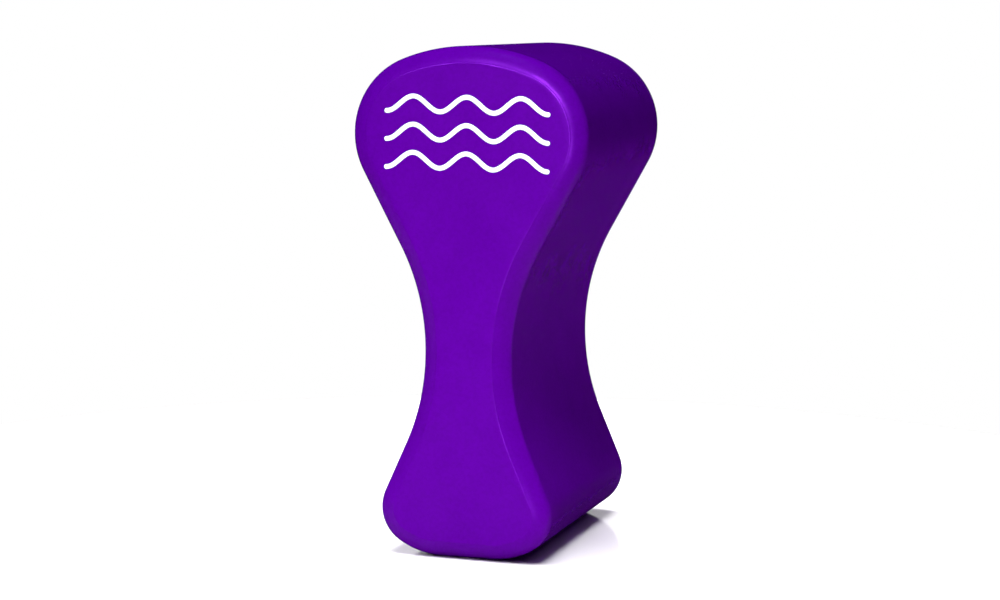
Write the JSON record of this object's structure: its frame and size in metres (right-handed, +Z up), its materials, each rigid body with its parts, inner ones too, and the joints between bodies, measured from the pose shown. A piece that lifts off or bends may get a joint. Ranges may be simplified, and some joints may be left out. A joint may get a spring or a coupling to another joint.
{
  "type": "pull buoy",
  "caption": "Hourglass-shaped moulded foam swimming float with a wide head, a hollow-sided waist, a narrower flat foot and a printed wave mark on its front face.",
  "frame": {"origin": "middle of the flat base, midway between the front and the back face", "axes": "+Z up from the base through the head, -Y out of the marked front face, +X to the right as the front face is looked at; the object is its own mirror image in X, and in Y apart from the printed mark"},
  "size_m": [0.114, 0.1402, 0.24],
  "materials": {
    "eva_foam": "satin moulded skin",
    "white_ink": "matt print"
  },
  "bodies": {
    "root": {"foam_body": "eva_foam", "wave_upper": "white_ink", "wave_middle": "white_ink", "wave_lower": "white_ink"}
  },
  "joints": []
}
